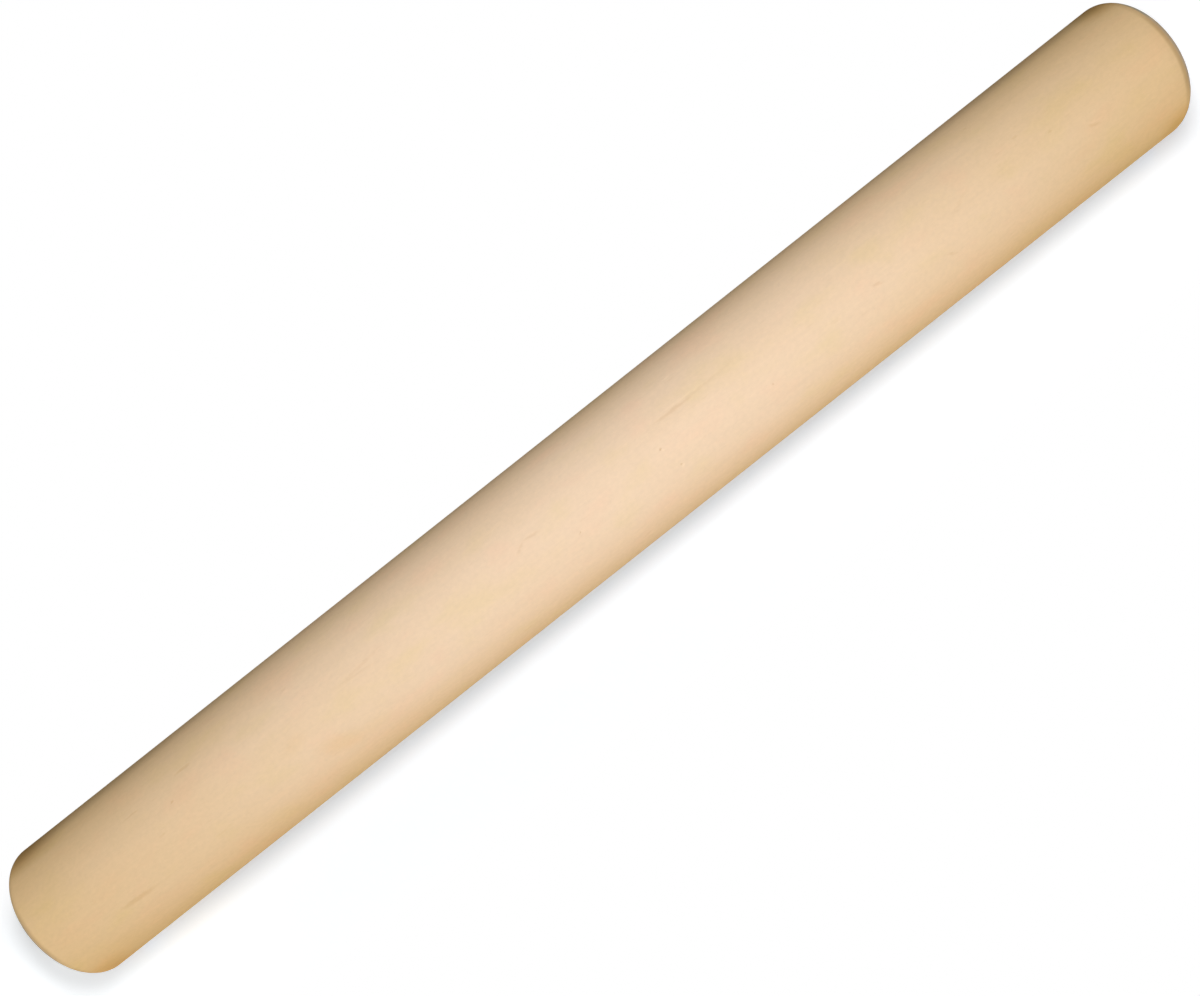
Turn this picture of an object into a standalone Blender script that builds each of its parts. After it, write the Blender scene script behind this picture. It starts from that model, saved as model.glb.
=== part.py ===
"""Straight rolling pin, turned from one piece of pale, close-grained wood.

Metres, +Z up. The pin lies along X on the surface Z = 0, with its middle over the origin.
"""

from math import cos, pi, sin

import bpy

# Driving dimensions
LENGTH = 0.457
DIAMETER = 0.050

# Radius of the sanded arc between the side and each end face
LEFT_RIM_RADIUS = 0.0022
RIGHT_RIM_RADIUS = 0.0036

# Faceting: the number of flats round the side, and of straight steps in each rim's arc
SIDE_FLATS = 48
RIM_STEPS = 6
SCREW_MERGE = 0.00001

# Finish
WOOD_COLOUR = (0.79, 0.60, 0.40, 1.0)
WOOD_ROUGHNESS = 0.62
WOOD_METALLIC = 0.0

OBJECT_NAME = "straight_rolling_pin"
PIN_NAME = "rolling_pin"


def clear_scene():
    for old in list(bpy.data.objects):
        bpy.data.objects.remove(old, do_unlink=True)


def new_collection(name):
    collection = bpy.data.collections.new(name)
    bpy.context.scene.collection.children.link(collection)
    return collection


def wood_material():
    material = bpy.data.materials.new("pale_wood")
    material.use_nodes = True
    shader = material.node_tree.nodes["Principled BSDF"]
    shader.inputs["Base Color"].default_value = WOOD_COLOUR
    shader.inputs["Roughness"].default_value = WOOD_ROUGHNESS
    shader.inputs["Metallic"].default_value = WOOD_METALLIC
    material.diffuse_color = WOOD_COLOUR
    return material


def rim_arc(rim_radius, side_radius, end, outward):
    """Points (distance from the axis, height) of a rim's quarter circle, from its end face to the side.

    end is the height of the end face, and outward is 1 at the top end and -1 at the bottom end.
    """
    points = []
    for step in range(RIM_STEPS + 1):
        turn = pi / 2 * step / RIM_STEPS
        radius = side_radius - rim_radius + rim_radius * sin(turn)
        height = end - outward * rim_radius * (1 - cos(turn))
        points.append((radius, height))
    return points


def turned_profile():
    """Half of the pin's lengthwise section, from the top of its axis round to the bottom."""
    half = LENGTH / 2
    side = DIAMETER / 2
    top_rim = rim_arc(RIGHT_RIM_RADIUS, side, half, 1)
    bottom_rim = rim_arc(LEFT_RIM_RADIUS, side, -half, -1)
    return [(0.0, half), *top_rim, *reversed(bottom_rim), (0.0, -half)]


def turned_mesh(name, profile):
    """The profile as a chain of edges at +X, ready to be turned about Z.

    The flats touch the true round, and the corners between them stand just outside it, so the pin
    measures its diameter across flats.
    """
    to_corner = 1 / cos(pi / SIDE_FLATS)
    points = [(radius * to_corner, 0.0, height) for radius, height in profile]
    edges = [(i, i + 1) for i in range(len(points) - 1)]
    mesh = bpy.data.meshes.new(name)
    mesh.from_pydata(points, edges, [])
    mesh.update()
    return mesh


def make_pin(collection):
    """The pin on its side: its top end points to +X, and one flat of the side lies on Z = 0."""
    mesh = turned_mesh(PIN_NAME, turned_profile())
    mesh.materials.append(wood_material())
    pin = bpy.data.objects.new(PIN_NAME, mesh)
    collection.objects.link(pin)
    turn = pin.modifiers.new("turn", "SCREW")
    turn.axis = "Z"
    turn.angle = 2 * pi
    turn.steps = SIDE_FLATS
    turn.render_steps = SIDE_FLATS
    turn.use_merge_vertices = True
    turn.merge_threshold = SCREW_MERGE
    turn.use_smooth_shade = True
    pin.modifiers.new("flat_ends_shade_flat", "WEIGHTED_NORMAL")
    half_a_flat = pi / SIDE_FLATS
    pin.rotation_mode = "ZYX"
    pin.rotation_euler = (half_a_flat, pi / 2, 0.0)
    pin.location = (0.0, 0.0, DIAMETER / 2)
    return pin


clear_scene()
make_pin(new_collection(OBJECT_NAME))
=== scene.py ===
"""Looks of the straight rolling pin: a turned, sanded rod of pale solid wood on a white floor.

Lengths are metres, +Z up, in the CAD frame: the pin lies along X, its axis one radius above Z = 0.
Inside the materials, lengths are millimetres.
"""

from collections import namedtuple
from math import cos, pi, radians, sin

import bpy
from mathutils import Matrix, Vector


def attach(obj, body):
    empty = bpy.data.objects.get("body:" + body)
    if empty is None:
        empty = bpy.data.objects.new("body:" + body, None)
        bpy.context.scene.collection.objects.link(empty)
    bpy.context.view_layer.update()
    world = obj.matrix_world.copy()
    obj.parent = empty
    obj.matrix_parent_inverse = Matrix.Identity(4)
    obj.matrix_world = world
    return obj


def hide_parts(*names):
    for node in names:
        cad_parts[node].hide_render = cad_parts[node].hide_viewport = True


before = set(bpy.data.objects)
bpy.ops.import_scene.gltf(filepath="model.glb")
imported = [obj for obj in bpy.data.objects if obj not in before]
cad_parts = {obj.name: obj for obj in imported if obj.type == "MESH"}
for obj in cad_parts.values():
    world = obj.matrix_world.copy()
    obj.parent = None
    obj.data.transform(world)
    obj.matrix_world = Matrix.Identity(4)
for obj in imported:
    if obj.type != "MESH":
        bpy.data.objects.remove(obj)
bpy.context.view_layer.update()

# The pin's own sizes, as in the CAD
LENGTH = 0.457
RADIUS = 0.025
LEFT_RIM_RADIUS = 0.0022
RIGHT_RIM_RADIUS = 0.0036
HALF = LENGTH / 2

# The same in the materials' millimetres. A rim starts where the straight side ends.
MM = 1000.0
SIDE_MM = RADIUS * MM
HALF_MM = HALF * MM
LEFT_RIM_START = (HALF - LEFT_RIM_RADIUS) * MM
RIGHT_RIM_START = (HALF - RIGHT_RIM_RADIUS) * MM

# Steps of the skin's mesh: round the pin, along a rim's arc, along the side, and across a face
ROUND_STEPS = 288
RIM_STEPS = 14
SIDE_STEPS = 160
FACE_STEPS = 10

# Camera, fitted to the outline of the pin in the photograph
CAMERA_PLACE = (-0.0025, -0.0149, 0.3696)
CAMERA_TURN = radians(-38.34)
CAMERA_LENS = 30.69
CAMERA_SHIFT = (-0.01965, 0.02483)
CAMERA_CLIP = (0.01, 20.0)
SENSOR_WIDTH = 36.0

# Wood colours: the pale top of the pin, and its golden sides and ends, painted as light and shade
PALE_WOOD = (0.850, 0.641, 0.454, 1.0)
GOLDEN_WOOD = (0.752, 0.494, 0.190, 1.0)

# Tints, which multiply the wood's colour where what they are named for shows. The low front tint is painted
# warm light, and the rim and corner tints are painted shade.
PINK_TINT = (1.022, 0.982, 0.982, 1.0)
GOLD_TINT = (0.982, 0.994, 0.92, 1.0)
LOW_FRONT_WARM_LIGHT_TINT = (1.025, 1.003, 1.0, 1.0)
FLECK_TINT = (0.76, 0.63, 0.43, 1.0)
PALE_FLECK_TINT = (1.15, 1.18, 1.22, 1.0)
BLOTCH_TINT = (0.90, 0.78, 0.42, 1.0)
END_GRAIN_TINT = (0.88, 0.80, 0.70, 1.0)
RIM_SHADE_TINT = (0.75, 0.72, 0.66, 1.0)
OUTER_RIM_SHADE_TINT = (0.89, 1.01, 1.37, 1.0)
BACK_RIM_SHADE_TINT = (0.66, 0.78, 0.93, 1.0)
BACK_CORNER_SHADE_TINT = (0.74, 0.66, 0.53, 1.0)
FRONT_CORNER_SHADE_TINT = (0.96, 0.88, 0.76, 1.0)

# Noises of the wood. A scale is in cycles for each mm along X, Y and Z, and the small ones along X draw the
# grain out lengthwise. A shift, in mm, is where in the noise the pin lies.
Noise = namedtuple("Noise", "scale detail roughness shift", defaults=(2.0, 0.5, None))
PATCHES = Noise((0.022, 0.075, 0.075), shift=(2862.0, 0.0, 0.0))
HUES = Noise((0.05, 0.09, 0.09), detail=3.0, shift=(787.0, 0.0, 0.0))
FIBRES = Noise((0.055, 0.85, 0.85), roughness=0.6)
THREADS = Noise((0.16, 2.4, 2.4), detail=1.0)
MOTTLE = Noise((0.60, 0.85, 0.85), roughness=0.6)
SCATTER = Noise((0.16, 0.75, 0.75), detail=1.0, shift=(0.0, 90.0, 40.0))
RAGGED = Noise((0.45, 1.1, 1.1))
RING_WOBBLE = Noise((0.008, 0.035, 0.035))

# These two are read across the growth rings, and the rays also round them and along X
RING_SPACING = 2.3
RINGS = Noise((1.0 / RING_SPACING, 1.0, 1.0), roughness=0.55)
RAYS = Noise((0.28, 2.2, 0.02))

# Middle of the growth rings, in mm from the pin's own middle: how far to +Y and how far below the axis.
# The slope is how far both shift for each mm along X. The way round, for the rays, is in mm at RAY_RADIUS.
PITH_ASIDE = 14.0
PITH_BELOW = 70.0
PITH_SLOPE = 0.014
RAY_RADIUS = 90.0

# How far noises swing the wood's golden share, the place of its rings (mm) and its roughness
PATCH_SWING = 0.05
RING_WOBBLE_SWING = 1.6
ROUGHNESS_SWING = 0.04

# How far each part of the grain swings the wood's lightness
FIBRE_SWING = 0.010
THREAD_SWING = 0.006
MOTTLE_SWING = 0.026
RAY_SWING = 0.035
SIDE_RING_SWING = 0.016
END_RING_SWING = 0.09

# The gold is painted shade: the wood's colour deepens where less light falls, down the sides and towards the
# ends.
# How golden the wood is at the ends, 0 to 1, and how much of the side's gold is lost there. A curve is the
# power by which the gold grows towards the ends or down the side. The softness rounds its full level.
END_GOLD = 0.61
SIDE_GOLD_LOSS = 0.5
END_GOLD_CURVE = 2.0
SIDE_GOLD_CURVE = 3.3
GOLD_SOFTNESS = 0.25

# Ramps: where each starts and where it ends, and its values there where they aren't 0 and 1.
# These are read along X, Y or Z, in mm from the pin's middle.
SIDE_GOLD_BY_Y = (-5.0, 5.0, 0.63, 0.39)
GOLD_BELOW_BY_Z = (0.0, -SIDE_MM, 0.0, 0.5)
FRONT_TONE_BY_X = (110.0, 200.0, 0.0, -0.035)
BACK_TONE_BY_X = (120.0, 215.0, 0.02, -0.01)
FRONT_TO_BACK_TONE_BY_Y = (8.0, 18.0)
LOW_FRONT_BY_Y = (-12.0, -21.0)
LEFT_RIM_FRONT_BY_Y = (-16.0, -7.0, 0.0, 0.65)
LEFT_RIM_BACK_BY_Y = (4.0, 11.0, 1.0, 0.35)
RIGHT_RIM_FRONT_BY_Y = (-22.0, -13.0, 0.25, 1.0)
RIGHT_RIM_BACK_BY_Y = (3.0, 14.0, 1.0, 0.4)
BACK_RIM_START_BY_Y = (7.0, 11.0)
BACK_RIM_END_BY_Y = (15.0, 20.0, 1.0, 0.4)
ABOVE_AXIS_BY_Z = (-12.0, 3.0)
BACK_CORNER_BY_Y = (17.0, 22.5)
FRONT_CORNER_BY_Y = (-19.0, -23.0)

# These are read by the distance from the middle along X. The back corners have one start at the left end and
# another at the right.
BACK_SHADE_END_BY_DISTANCE = (90.0, 215.0)
FRONT_CORNER_BY_DISTANCE = (212.0, 224.5)
BACK_CORNER_STARTS = (202.0, 212.0)
BACK_CORNER_END = 224.0

# These are read by the distance past a rim's start
RIM_PAST_START = (-0.75, 0.45)
SHADE_BEFORE_RIM_PAST_START = (-5.0, 0.5, 0.0, 0.055)

# These are read by how much the surface faces the end: 0 on the straight side, and 1 on the end faces
END_GRAIN_BY_FACING = (0.60, 0.90)
BEFORE_FACE_BY_FACING = (0.98, 0.88)
OUTER_RIM_BY_FACING = (0.25, 0.45)
BACK_RIM_BY_FACING = (0.26, 0.45)

# These are read from a noise
PINK_BY_HUE = (0.5, 0.75)
GOLD_BY_HUE = (0.5, 0.25)
FLECKS_BY_SCATTER = (0.70, 0.82, 0.0, 0.08)

# These are read by a share of 0 to 1: from the side to end grain, and from the pin's middle to its ends
RING_SWING_BY_END_GRAIN = (0.0, 1.0, SIDE_RING_SWING, END_RING_SWING)
ROUGHNESS_BY_END_GRAIN = (0.0, 1.0, 0.55, 0.74)
BACK_SHADE_START_BY_END = (0.0, 1.0, 22.0, 20.0)
BACK_SHADE_SHARE_BY_END = (0.0, 1.0, 0.15, 0.30)

# Raised grain, in mm
FIBRE_RELIEF = 0.006
THREAD_RELIEF = 0.004
RING_RELIEF = 0.02
FLECK_DEPTH = 0.04
RELIEF_STRENGTH = 0.6

# Dry sanded wood has no gloss, and a full fleck is rougher by this much
SPECULAR_LEVEL = 0.0
FLECK_ROUGHNESS = 0.5

# The line along the pin that faces the camera, in degrees from the top towards -Y
FACING_LINE = 2.35

# How ragged the marks are, in mm along the pin and round it. A mark is full up to its core and gone at its
# end, as shares of its half length and half width.
RAGGED_SIZE = (3.0, 1.1, 0.0)
MARK_CORE = 0.25
MARK_END = 1.25

# Single marks on the side: place along the pin (mm), angle from the facing line towards -Y (degrees),
# length and width (mm), turn away from the grain (degrees), and strength
FLECKS = (
    (-159.0, -30.5, 7.0, 1.2, 0, 0.27),
    (-180.0, -26.7, 6.5, 0.9, 0, 0.19),
    (-166.4, -14.9, 1.6, 1.1, 20, 0.35),
    (-194.6, 25.3, 15.0, 2.0, 4, 0.28),
    (-174.6, -0.4, 3.4, 0.9, 0, 0.15),
    (-94.5, -7.6, 23.0, 1.2, -7, 0.12),
    (-96.4, -4.6, 19.0, 1.1, 6, 0.12),
    (-118.3, -30.0, 2.2, 1.0, 0, 0.17),
    (39.5, -13.1, 38.0, 1.2, -1, 0.11),
    (32.9, -12.7, 18.0, 1.4, 1, 0.28),
    (21.9, 4.3, 0.9, 0.9, 0, 0.62),
    (-26.4, -4.6, 7.0, 1.1, 6, 0.23),
    (-31.9, -2.6, 6.0, 1.2, -31, 0.16),
    (37.8, -33.2, 4.0, 0.9, 0, 0.12),
    (24.0, 22.5, 1.2, 1.0, 0, 0.46),
    (-14.3, 15.6, 1.2, 1.0, 0, 0.42),
    (62.4, 17.6, 1.1, 1.0, 0, 0.38),
    (106.9, 7.2, 4.8, 1.2, 18, 0.24),
    (143.1, -2.2, 12.5, 1.3, -24, 0.09),
    (191.6, 14.5, 5.0, 1.3, 20, 0.23),
    (178.9, -1.6, 1.8, 1.2, 0, 0.20),
    (132.5, 24.8, 4.2, 1.2, 35, 0.19),
    (169.1, -14.0, 1.8, 1.1, 0, 0.19),
    (162.2, -46.5, 1.8, 1.1, 0, 0.18),
)
PALE_FLECKS = (
    (37.5, -36.5, 4.0, 1.0, 0, 0.40),
    (22.6, 5.8, 1.1, 1.0, 0, 0.30),
    (24.6, 24.0, 1.2, 1.0, 0, 0.40),
    (35.0, -15.6, 20.0, 1.0, 1, 0.20),
    (-118.0, -27.6, 2.4, 1.0, 0, 0.28),
    (192.2, 12.3, 4.4, 1.0, 20, 0.16),
)
BLOTCHES = (
    (-125.5, 7.6, 11.0, 6.0, -20, 0.09),
    (-113.8, 29.0, 18.0, 8.0, 19, 0.20),
    (-104.0, 34.0, 18.0, 5.0, 5, 0.10),
)

# Half the floor's side, in metres. Its own grey, in front of the pin's axis and behind it, sets how much
# light it throws on the pin.
FLOOR_HALF = 3.0
FLOOR_GREY_BY_Y = (0.0, 26.0, 0.8, 0.3)

# The floor's level for the camera and for reflections. It is divided by the light that falls on the floor,
# which is FLOOR_LIGHT in the middle and less by FLOOR_LIGHT_LOSS one reach, in mm, along X from there.
FLOOR_SEEN = (1.003, 1.071, 1.148)
FLOOR_LIGHT = 1.087
FLOOR_LIGHT_LOSS = 0.160
FLOOR_LIGHT_CURVE = 2.0
FLOOR_LIGHT_REACH = 220.0
MOST_REACHES = 1.3

# The ends throw less warm light on the floor than the side does. Past the left end the floor is also lifted
# in front and lowered behind: a painted shadow that lightens the end's shadow in front and deepens it
# behind.
LEFT_END_TINT = (1.055, 1.02, 0.975, 1.0)
RIGHT_END_TINT = (1.0, 0.957, 0.918, 1.0)
LEFT_END_BY_X = (-175.0, -225.0)
RIGHT_END_BY_X = (200.0, 238.0)
LEFT_LIFT_BY_Y = (-15.0, 8.0, 0.05, -0.04)

# Close to the pin, the floor's level makes up for the warm light that the wood throws on it
CONTACT_TINT = (0.97, 1.013, 1.068, 1.0)
CONTACT_BY_DISTANCE = (2.0, 7.0, 1.0, 0.0)

# Where the floor turns plain white for the camera: by the distance from the axis, and behind the pin
WHITE_BY_DISTANCE = (36.0, 75.0)
WHITE_BY_Y = (5.0, 26.0)

# Lamps: place, size and power. The small one makes the pin's shadow, and the long one lights its front.
# The level is the small one's strength at any distance.
SHADOW_LAMP_PLACE = (0.033, 0.042, 0.370)
SHADOW_LAMP_SIZE = (0.060, 0.105)
SHADOW_LAMP_POWER = 0.40
SHADOW_LAMP_LEVEL = 10.0
LONG_LAMP_PLACE = (0.0, -0.25, 0.60)
LONG_LAMP_SIZE = (0.8, 0.30)
LONG_LAMP_POWER = 1.26

# The world's strength from the -Y side to the +Y side, by how far a direction points to +Y
WORLD_BY_DIRECTION = (-0.3, 0.3, 0.506, 0.322)
WHITE = (1.0, 1.0, 1.0, 1.0)

# A Mix node's sockets by number, because their names repeat: share, first and second, and the result
NUMBER_SOCKETS = (0, 2, 3)
COLOUR_SOCKETS = (0, 6, 7)
NUMBER_RESULT = 0
COLOUR_RESULT = 2


class Number:
    """A number that a node tree works out at every point, used like any other number."""

    def __init__(self, graph, socket):
        self.graph = graph
        self.socket = socket

    def __add__(self, other):
        return self.graph.math("ADD", self, other)

    def __sub__(self, other):
        return self.graph.math("SUBTRACT", self, other)

    def __rsub__(self, other):
        return self.graph.math("SUBTRACT", other, self)

    def __mul__(self, other):
        return self.graph.math("MULTIPLY", self, other)

    def __truediv__(self, other):
        return self.graph.math("DIVIDE", self, other)

    def __pow__(self, power):
        return self.graph.math("POWER", self, power)

    def __abs__(self):
        return self.graph.math("ABSOLUTE", self)

    __radd__ = __add__
    __rmul__ = __mul__


class Graph:
    """Short calls for one node tree: each adds a node and returns what it gives."""

    def __init__(self, tree):
        self.tree = tree
        tree.nodes.clear()

    def node(self, kind, **settings):
        made = self.tree.nodes.new(kind)
        for name, value in settings.items():
            setattr(made, name, value)
        return made

    def feed(self, socket, value):
        if isinstance(value, Number):
            value = value.socket
        if isinstance(value, bpy.types.NodeSocket):
            self.tree.links.new(value, socket)
        else:
            socket.default_value = value

    def feed_all(self, sockets, values):
        for socket, value in zip(sockets, values):
            self.feed(socket, value)

    def show(self, shader, kind="ShaderNodeOutputMaterial"):
        """Makes a shader node the result of the whole tree."""
        self.feed(self.node(kind).inputs["Surface"], shader.outputs[0])

    def place(self):
        """A point's place on its object, in mm."""
        place = self.node("ShaderNodeTexCoord").outputs["Object"]
        return self.vector("MULTIPLY", place, (MM, MM, MM))

    def math(self, operation, *values):
        made = self.node("ShaderNodeMath", operation=operation)
        self.feed_all(made.inputs, values)
        return Number(self, made.outputs[0])

    def vector(self, operation, *values):
        made = self.node("ShaderNodeVectorMath", operation=operation)
        self.feed_all(made.inputs, values)
        return made.outputs["Vector"]

    def length(self, vector):
        made = self.node("ShaderNodeVectorMath", operation="LENGTH")
        self.feed(made.inputs[0], vector)
        return Number(self, made.outputs["Value"])

    def combine(self, x, y, z):
        made = self.node("ShaderNodeCombineXYZ")
        self.feed_all(made.inputs, (x, y, z))
        return made.outputs[0]

    def split(self, vector):
        made = self.node("ShaderNodeSeparateXYZ")
        self.feed(made.inputs[0], vector)
        return [Number(self, output) for output in made.outputs]

    def ramp(self, value, start, end, low=0.0, high=1.0):
        """low up to start, high from end on, with a smooth change between them."""
        made = self.node("ShaderNodeMapRange", interpolation_type="SMOOTHSTEP")
        names = ("Value", "From Min", "From Max", "To Min", "To Max")
        self.feed_all([made.inputs[name] for name in names], (value, start, end, low, high))
        return Number(self, made.outputs["Result"])

    def noise_node(self, place, look):
        """A noise texture at a place. look is a Noise."""
        if look.shift:
            place = self.vector("ADD", place, look.shift)
        made = self.node("ShaderNodeTexNoise")
        self.feed(made.inputs["Vector"], self.vector("MULTIPLY", place, look.scale))
        made.inputs["Scale"].default_value = 1.0
        made.inputs["Detail"].default_value = look.detail
        made.inputs["Roughness"].default_value = look.roughness
        return made

    def noise(self, place, look):
        """Smooth noise, 0 to 1 with its middle at 0.5."""
        return Number(self, self.noise_node(place, look).outputs["Fac"])

    def swing(self, noise, size):
        """A noise as a number that swings round zero by about size, because most noise is 0.25 to 0.75."""
        return (noise - 0.5) * (size * 4.0)

    def choose(self, switch, off, on):
        """The number off where switch is 0, and the number on where it is 1."""
        made = self.node("ShaderNodeMix", data_type="FLOAT")
        self.feed_all([made.inputs[number] for number in NUMBER_SOCKETS], (switch, off, on))
        return Number(self, made.outputs[NUMBER_RESULT])

    def mix(self, share, first, second, blend="MIX"):
        """The colour first where share is 0, and blended with the colour second where it is 1."""
        made = self.node("ShaderNodeMix", data_type="RGBA", blend_type=blend)
        self.feed_all([made.inputs[number] for number in COLOUR_SOCKETS], (share, first, second))
        return made.outputs[COLOUR_RESULT]

    def tint(self, colour, tint, share=1.0):
        """A colour multiplied by a tint, as far as share says."""
        return self.mix(share, colour, tint, "MULTIPLY")


def link(thing):
    bpy.context.scene.collection.objects.link(thing)
    return thing


def new_material(name):
    """An empty material and the graph of its nodes."""
    material = bpy.data.materials.new(name)
    material.use_nodes = True
    return material, Graph(material.node_tree)


def rim_rings(rim_radius, side):
    """The rings of one rim, from its end face to the side. side is -1 at the left end and 1 at the right."""
    rings = []
    for step in range(RIM_STEPS + 1):
        turn = pi / 2 * step / RIM_STEPS
        x = side * (HALF - rim_radius * (1 - cos(turn)))
        rings.append((x, RADIUS - rim_radius * (1 - sin(turn)), side * cos(turn), sin(turn)))
    return rings


def pin_rings():
    """Each ring of the pin's skin, from the left face on: x, radius, and its normal along X and outward."""
    left = rim_rings(LEFT_RIM_RADIUS, -1)
    right = rim_rings(RIGHT_RIM_RADIUS, 1)
    left_face, right_face = left[0][1], right[0][1]
    start, stop = left[-1][0], right[-1][0]
    rings = [(-HALF, left_face * step / FACE_STEPS, -1.0, 0.0) for step in range(1, FACE_STEPS)]
    rings += left
    for step in range(1, SIDE_STEPS):
        rings.append((start + (stop - start) * step / SIDE_STEPS, RADIUS, 0.0, 1.0))
    rings += reversed(right)
    rings += [(HALF, right_face * step / FACE_STEPS, 1.0, 0.0) for step in range(FACE_STEPS - 1, 0, -1)]
    return rings


def turned_pin(name):
    """The pin's skin as one closed mesh, turned about the pin's axis."""
    rings = pin_rings()
    points = [(-HALF, 0.0, RADIUS)]
    normals = [(-1.0, 0.0, 0.0)]
    for x, radius, along, outward in rings:
        for step in range(ROUND_STEPS):
            turn = 2 * pi * step / ROUND_STEPS
            points.append((x, -radius * sin(turn), RADIUS + radius * cos(turn)))
            normals.append((along, -outward * sin(turn), outward * cos(turn)))
    points.append((HALF, 0.0, RADIUS))
    normals.append((1.0, 0.0, 0.0))
    last = len(points) - 1
    faces = []
    for step in range(ROUND_STEPS):
        after = (step + 1) % ROUND_STEPS
        faces.append((0, 1 + after, 1 + step))
        for ring in range(len(rings) - 1):
            first = 1 + ring * ROUND_STEPS
            second = first + ROUND_STEPS
            faces.append((first + step, first + after, second + after, second + step))
        first = 1 + (len(rings) - 1) * ROUND_STEPS
        faces.append((last, first + step, first + after))
    mesh = bpy.data.meshes.new(name)
    mesh.from_pydata(points, [], faces)
    mesh.update()
    mesh.shade_smooth()
    mesh.normals_split_custom_set_from_vertices(normals)
    return link(bpy.data.objects.new(name, mesh))


# A point of the pin's skin: its place in mm from the pin's middle, also as x, y and z, its distance from the
# middle along X, how much the surface faces an end, how much of it is end grain, and 1 on the right half
Spot = namedtuple("Spot", "place x y z distance facing end_grain right")

# The noises of the grain at a point
Grain = namedtuple("Grain", "rings rays fibres threads mottle")


def find_spot(g):
    """The Spot that a material is worked out for."""
    place = g.vector("SUBTRACT", g.place(), (0.0, 0.0, SIDE_MM))
    x, y, z = g.split(place)
    facing = abs(g.split(g.node("ShaderNodeTexCoord").outputs["Normal"])[0])
    end_grain = g.ramp(facing, *END_GRAIN_BY_FACING)
    return Spot(place, x, y, z, abs(x), facing, end_grain, g.math("GREATER_THAN", x, 0.0))


def make_grain(g, spot):
    """The growth rings, the rays that cross them, and finer grain. The rings run on into the end faces."""
    aside = spot.y - (spot.x * PITH_SLOPE + PITH_ASIDE)
    above = spot.z + (spot.x * PITH_SLOPE + PITH_BELOW)
    wobble = g.swing(g.noise(spot.place, RING_WOBBLE), RING_WOBBLE_SWING)
    depth = g.length(g.combine(0.0, aside, above)) + wobble
    around = g.math("ARCTAN2", aside, above) * RAY_RADIUS
    return Grain(
        rings=g.noise(g.combine(depth, 0.0, 0.0), RINGS),
        rays=g.noise(g.combine(depth, around, spot.x), RAYS),
        fibres=g.noise(spot.place, FIBRES),
        threads=g.noise(spot.place, THREADS),
        mottle=g.noise(spot.place, MOTTLE),
    )


def bare_colour(g, spot):
    """Painted light and shade: pale on top, golden below, down the sides and towards the ends. Also faint
    pink and golden patches.
    """
    ends = (spot.distance / HALF_MM) ** END_GOLD_CURVE
    side = abs(spot.y / SIDE_MM) ** SIDE_GOLD_CURVE
    side_share = g.ramp(spot.y, *SIDE_GOLD_BY_Y) * (1.0 - ends * SIDE_GOLD_LOSS)
    golden = ends * END_GOLD + side * side_share + g.ramp(spot.z, *GOLD_BELOW_BY_Z)
    golden = golden + g.swing(g.noise(spot.place, PATCHES), PATCH_SWING)
    golden = g.math("SMOOTH_MIN", golden, 1.0, GOLD_SOFTNESS)
    colour = g.mix(g.math("MAXIMUM", golden, 0.0), PALE_WOOD, GOLDEN_WOOD)
    hue = g.noise(spot.place, HUES)
    colour = g.tint(colour, PINK_TINT, g.ramp(hue, *PINK_BY_HUE))
    return g.tint(colour, GOLD_TINT, g.ramp(hue, *GOLD_BY_HUE))


def lightness(g, spot, grain):
    """How light the wood is, near 1. The rings show most on end grain, and the rays only there."""
    front_tone = g.ramp(spot.x, *FRONT_TONE_BY_X)
    back_tone = g.ramp(spot.x, *BACK_TONE_BY_X)
    tone = g.choose(g.ramp(spot.y, *FRONT_TO_BACK_TONE_BY_Y), front_tone, back_tone)
    return (
        1.0
        + tone
        + g.swing(grain.rings, g.ramp(spot.end_grain, *RING_SWING_BY_END_GRAIN))
        + g.swing(grain.fibres, FIBRE_SWING)
        + g.swing(grain.threads, THREAD_SWING)
        + g.swing(grain.mottle, MOTTLE_SWING)
        + g.swing(grain.rays, RAY_SWING) * spot.end_grain
    )


def side_laid_out(g, spot):
    """The side laid out flat, in mm along the pin and round it from the top towards -Y, a little ragged."""
    angle = g.math("ARCTAN2", spot.y * -1.0, spot.z)
    ragged = g.noise_node(spot.place, RAGGED).outputs["Color"]
    ragged = g.vector("MULTIPLY", g.vector("SUBTRACT", ragged, (0.5, 0.5, 0.5)), RAGGED_SIZE)
    return g.vector("ADD", g.combine(spot.x, angle * SIDE_MM, 0.0), ragged)


def mark(g, side, x, angle, length, width, turn, strength):
    """How much one mark shows at a place on the side: strength in its middle, and 0 outside it."""
    mapping = g.node("ShaderNodeMapping", vector_type="TEXTURE")
    g.feed(mapping.inputs["Vector"], side)
    mapping.inputs["Location"].default_value = (x, radians(FACING_LINE + angle) * SIDE_MM, 0.0)
    mapping.inputs["Rotation"].default_value = (0.0, 0.0, radians(turn))
    mapping.inputs["Scale"].default_value = (length / 2, width / 2, 1.0)
    return g.ramp(g.length(mapping.outputs[0]), MARK_CORE, MARK_END, strength, 0.0)


def marks(g, side, many):
    """All of a list's marks together. Where two overlap, the stronger one shows."""
    result = 0.0
    for one in many:
        result = g.math("MAXIMUM", result, mark(g, side, *one))
    return result


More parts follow.
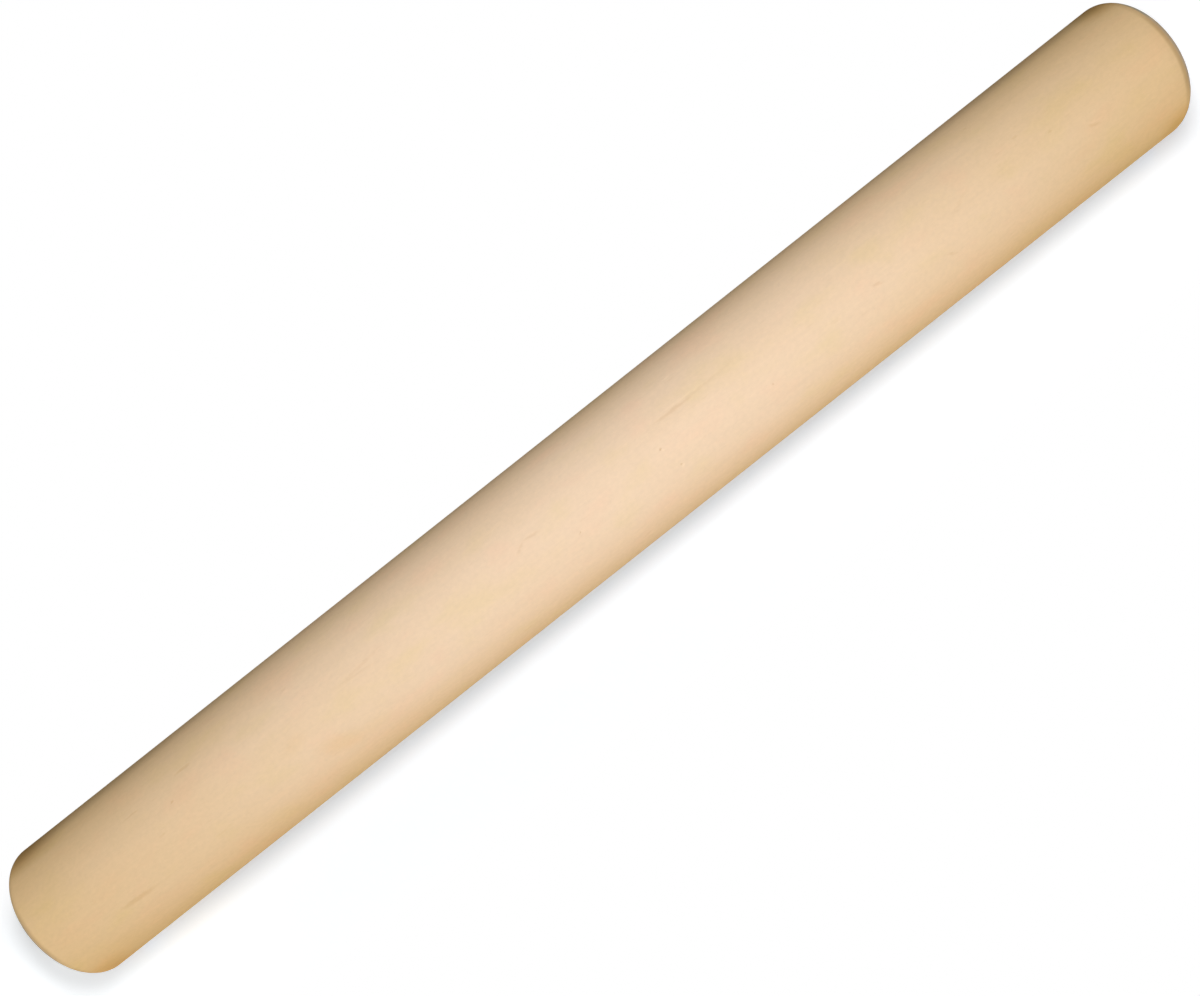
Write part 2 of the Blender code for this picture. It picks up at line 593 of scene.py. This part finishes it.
def end_grain_and_rim_shade(g, spot, colour):
    """End grain drinks more oil and looks darker. The rim bands, and the side just before the right rim, are
    painted shade where they turn away from the light.
    """
    left = g.ramp(spot.y, *LEFT_RIM_FRONT_BY_Y) * g.ramp(spot.y, *LEFT_RIM_BACK_BY_Y)
    right = g.ramp(spot.y, *RIGHT_RIM_FRONT_BY_Y) * g.ramp(spot.y, *RIGHT_RIM_BACK_BY_Y)
    before_face = g.ramp(spot.facing, *BEFORE_FACE_BY_FACING)
    rim_shade = g.choose(spot.right, left, right) * before_face
    past_start = spot.distance - g.choose(spot.right, LEFT_RIM_START, RIGHT_RIM_START)
    colour = g.tint(colour, END_GRAIN_TINT, spot.end_grain)
    colour = g.tint(colour, RIM_SHADE_TINT, g.ramp(past_start, *RIM_PAST_START) * rim_shade)
    colour = g.tint(colour, OUTER_RIM_SHADE_TINT, g.ramp(spot.facing, *OUTER_RIM_BY_FACING) * rim_shade)
    shade_before_rim = g.ramp(past_start, *SHADE_BEFORE_RIM_PAST_START) * rim_shade * spot.right
    colour = g.tint(colour, 1.0 - shade_before_rim)

    # Painted shade: a thin dark line on the back of the right rim, which turns away from the light
    back_rim_shade = g.ramp(spot.y, *BACK_RIM_START_BY_Y) * g.ramp(spot.y, *BACK_RIM_END_BY_Y)
    back_rim_shade = back_rim_shade * g.ramp(spot.facing, *BACK_RIM_BY_FACING) * before_face * spot.right
    return g.tint(colour, BACK_RIM_SHADE_TINT, back_rim_shade)


def painted_back_shade(g, spot, colour):
    """Painted shade: the upper back is darker, most of all at its corners, where the light falls off. The
    front's corners are painted a little golden, as shade deepens their colour.
    """
    above_axis = g.ramp(spot.z, *ABOVE_AXIS_BY_Z)
    end = g.ramp(spot.distance, *BACK_SHADE_END_BY_DISTANCE)
    back_shade_start = g.ramp(end, *BACK_SHADE_START_BY_END)
    back_shade = g.ramp(spot.y, back_shade_start, SIDE_MM, 0.0, g.ramp(end, *BACK_SHADE_SHARE_BY_END))
    colour = g.tint(colour, 1.0 - back_shade * above_axis)
    corner_start = g.choose(spot.right, *BACK_CORNER_STARTS)
    corner = g.ramp(spot.distance, corner_start, BACK_CORNER_END) * g.ramp(spot.y, *BACK_CORNER_BY_Y)
    colour = g.tint(colour, BACK_CORNER_SHADE_TINT, corner * above_axis)
    corner = g.ramp(spot.distance, *FRONT_CORNER_BY_DISTANCE) * g.ramp(spot.y, *FRONT_CORNER_BY_Y)
    return g.tint(colour, FRONT_CORNER_SHADE_TINT, corner)


def wood_material():
    material, g = new_material("pale_wood")
    spot = find_spot(g)
    grain = make_grain(g, spot)
    colour = g.tint(bare_colour(g, spot), lightness(g, spot, grain))
    # Painted warm light on the lower front side
    colour = g.tint(colour, LOW_FRONT_WARM_LIGHT_TINT, g.ramp(spot.y, *LOW_FRONT_BY_Y))

    # Short ray flecks are scattered all over the side, besides the single ones
    side = side_laid_out(g, spot)
    scattered = g.ramp(g.noise(spot.place, SCATTER), *FLECKS_BY_SCATTER)
    flecks = g.math("MAXIMUM", marks(g, side, FLECKS), scattered)
    colour = g.tint(colour, FLECK_TINT, flecks)
    colour = g.tint(colour, BLOTCH_TINT, marks(g, side, BLOTCHES))
    colour = g.tint(colour, PALE_FLECK_TINT, marks(g, side, PALE_FLECKS))
    colour = painted_back_shade(g, spot, end_grain_and_rim_shade(g, spot, colour))

    roughness = g.ramp(spot.end_grain, *ROUGHNESS_BY_END_GRAIN)
    roughness = roughness + g.swing(grain.mottle, ROUGHNESS_SWING) + flecks * FLECK_ROUGHNESS
    relief = g.swing(grain.fibres, FIBRE_RELIEF) + g.swing(grain.threads, THREAD_RELIEF)
    relief = relief + g.swing(grain.rings, RING_RELIEF) * spot.end_grain - flecks * FLECK_DEPTH
    bump = g.node("ShaderNodeBump")
    bump.inputs["Strength"].default_value = RELIEF_STRENGTH
    bump.inputs["Distance"].default_value = 1.0 / MM
    g.feed(bump.inputs["Height"], relief)

    shader = g.node("ShaderNodeBsdfPrincipled")
    g.feed(shader.inputs["Base Color"], colour)
    g.feed(shader.inputs["Roughness"], roughness)
    shader.inputs["Specular IOR Level"].default_value = SPECULAR_LEVEL
    g.feed(shader.inputs["Normal"], bump.outputs[0])
    g.show(shader)
    return material


def seen_directly(g):
    """1 for rays from the camera or mirrored or let through by a surface, and 0 for the rest."""
    path = g.node("ShaderNodeLightPath")
    seen = g.math("MAXIMUM", path.outputs["Is Camera Ray"], path.outputs["Is Glossy Ray"])
    return g.math("MAXIMUM", seen, path.outputs["Is Transmission Ray"])


def floor_level(g, x, y, beyond):
    """The floor's colour as it is seen. beyond is how far a point is past the pin's ends, in mm."""
    reaches = g.math("MINIMUM", abs(x) / FLOOR_LIGHT_REACH, MOST_REACHES)
    light = FLOOR_LIGHT - reaches**FLOOR_LIGHT_CURVE * FLOOR_LIGHT_LOSS
    level = g.vector("DIVIDE", FLOOR_SEEN, g.combine(light, light, light))
    past_left = g.ramp(x, *LEFT_END_BY_X)
    level = g.tint(level, LEFT_END_TINT, past_left)
    # Painted shadow past the left end: lighter in front, deeper behind
    level = g.tint(level, past_left * g.ramp(y, *LEFT_LIFT_BY_Y) + 1.0)
    level = g.tint(level, RIGHT_END_TINT, g.ramp(x, *RIGHT_END_BY_X))
    aside = g.math("MAXIMUM", abs(y) - SIDE_MM, 0.0)
    contact = g.ramp(g.length(g.combine(beyond, aside, 0.0)), *CONTACT_BY_DISTANCE)
    return g.tint(level, CONTACT_TINT, contact)


def floor_material():
    material, g = new_material("white_floor")
    seen = seen_directly(g)
    x, y, _ = g.split(g.place())
    beyond = g.math("MAXIMUM", abs(x) - HALF_MM, 0.0)
    grey = g.ramp(y, *FLOOR_GREY_BY_Y)
    diffuse = g.node("ShaderNodeBsdfDiffuse")
    g.feed(diffuse.inputs["Color"], g.mix(seen, grey, floor_level(g, x, y, beyond)))

    far_white = g.ramp(g.length(g.combine(beyond, y, 0.0)), *WHITE_BY_DISTANCE)
    back_white = g.ramp(y, *WHITE_BY_Y)
    white = g.node("ShaderNodeEmission")
    white.inputs["Strength"].default_value = 1.0
    blend = g.node("ShaderNodeMixShader")
    white_share = g.math("MAXIMUM", far_white, back_white) * seen
    g.feed_all(blend.inputs, (white_share, diffuse.outputs[0], white.outputs[0]))
    g.show(blend)
    return material


def make_floor():
    corners = ((-1, -1), (1, -1), (1, 1), (-1, 1))
    points = [(FLOOR_HALF * x, FLOOR_HALF * y, 0.0) for x, y in corners]
    mesh = bpy.data.meshes.new("floor")
    mesh.from_pydata(points, [], [(0, 1, 2, 3)])
    mesh.materials.append(floor_material())
    link(bpy.data.objects.new("floor", mesh))


def make_camera():
    data = bpy.data.cameras.new("camera")
    data.sensor_width = SENSOR_WIDTH
    data.lens = CAMERA_LENS
    data.shift_x, data.shift_y = CAMERA_SHIFT
    data.clip_start, data.clip_end = CAMERA_CLIP
    camera = link(bpy.data.objects.new("camera", data))
    camera.location = CAMERA_PLACE
    camera.rotation_euler = (0.0, 0.0, CAMERA_TURN)
    bpy.context.scene.camera = camera


def make_lamp(name, place, size, power):
    """An oval lamp that shines straight down and isn't seen by the camera."""
    data = bpy.data.lights.new(name, "AREA")
    data.shape = "ELLIPSE"
    data.size, data.size_y = size
    data.energy = power
    lamp = link(bpy.data.objects.new(name, data))
    lamp.location = place
    lamp.visible_camera = False
    return lamp


def aim_at_pin(lamp):
    """Turns a lamp to the middle of the pin."""
    ray = Vector((0.0, 0.0, RADIUS)) - lamp.location
    lamp.rotation_euler = ray.to_track_quat("-Z", "Y").to_euler()


def keep_level(lamp, strength):
    """Makes a lamp as strong far away as near, so that the floor's shadow is as dark at the ends."""
    lamp.data.use_nodes = True
    tree = lamp.data.node_tree
    falloff = tree.nodes.new("ShaderNodeLightFalloff")
    falloff.inputs["Strength"].default_value = strength
    tree.links.new(falloff.outputs["Constant"], tree.nodes["Emission"].inputs["Strength"])


def make_lamps():
    shadow_lamp = make_lamp("shadow_lamp", SHADOW_LAMP_PLACE, SHADOW_LAMP_SIZE, SHADOW_LAMP_POWER)
    keep_level(shadow_lamp, SHADOW_LAMP_LEVEL)
    aim_at_pin(make_lamp("long_lamp", LONG_LAMP_PLACE, LONG_LAMP_SIZE, LONG_LAMP_POWER))


def make_world():
    """Soft light from all round, stronger from the front. What is seen directly is white."""
    world = bpy.data.worlds.new("studio")
    world.use_nodes = True
    g = Graph(world.node_tree)
    towards_back = g.split(g.node("ShaderNodeTexCoord").outputs["Generated"])[1]
    level = g.ramp(towards_back, *WORLD_BY_DIRECTION)
    background = g.node("ShaderNodeBackground")
    background.inputs["Color"].default_value = WHITE
    g.feed(background.inputs["Strength"], g.math("MAXIMUM", seen_directly(g), level))
    g.show(background, "ShaderNodeOutputWorld")
    bpy.context.scene.world = world


make_camera()
make_floor()
pin = turned_pin("turned_pin")
pin.data.materials.append(wood_material())
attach(pin, "root")
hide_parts("rolling_pin")
make_lamps()
make_world()

bpy.context.scene.view_settings.view_transform = "Standard"
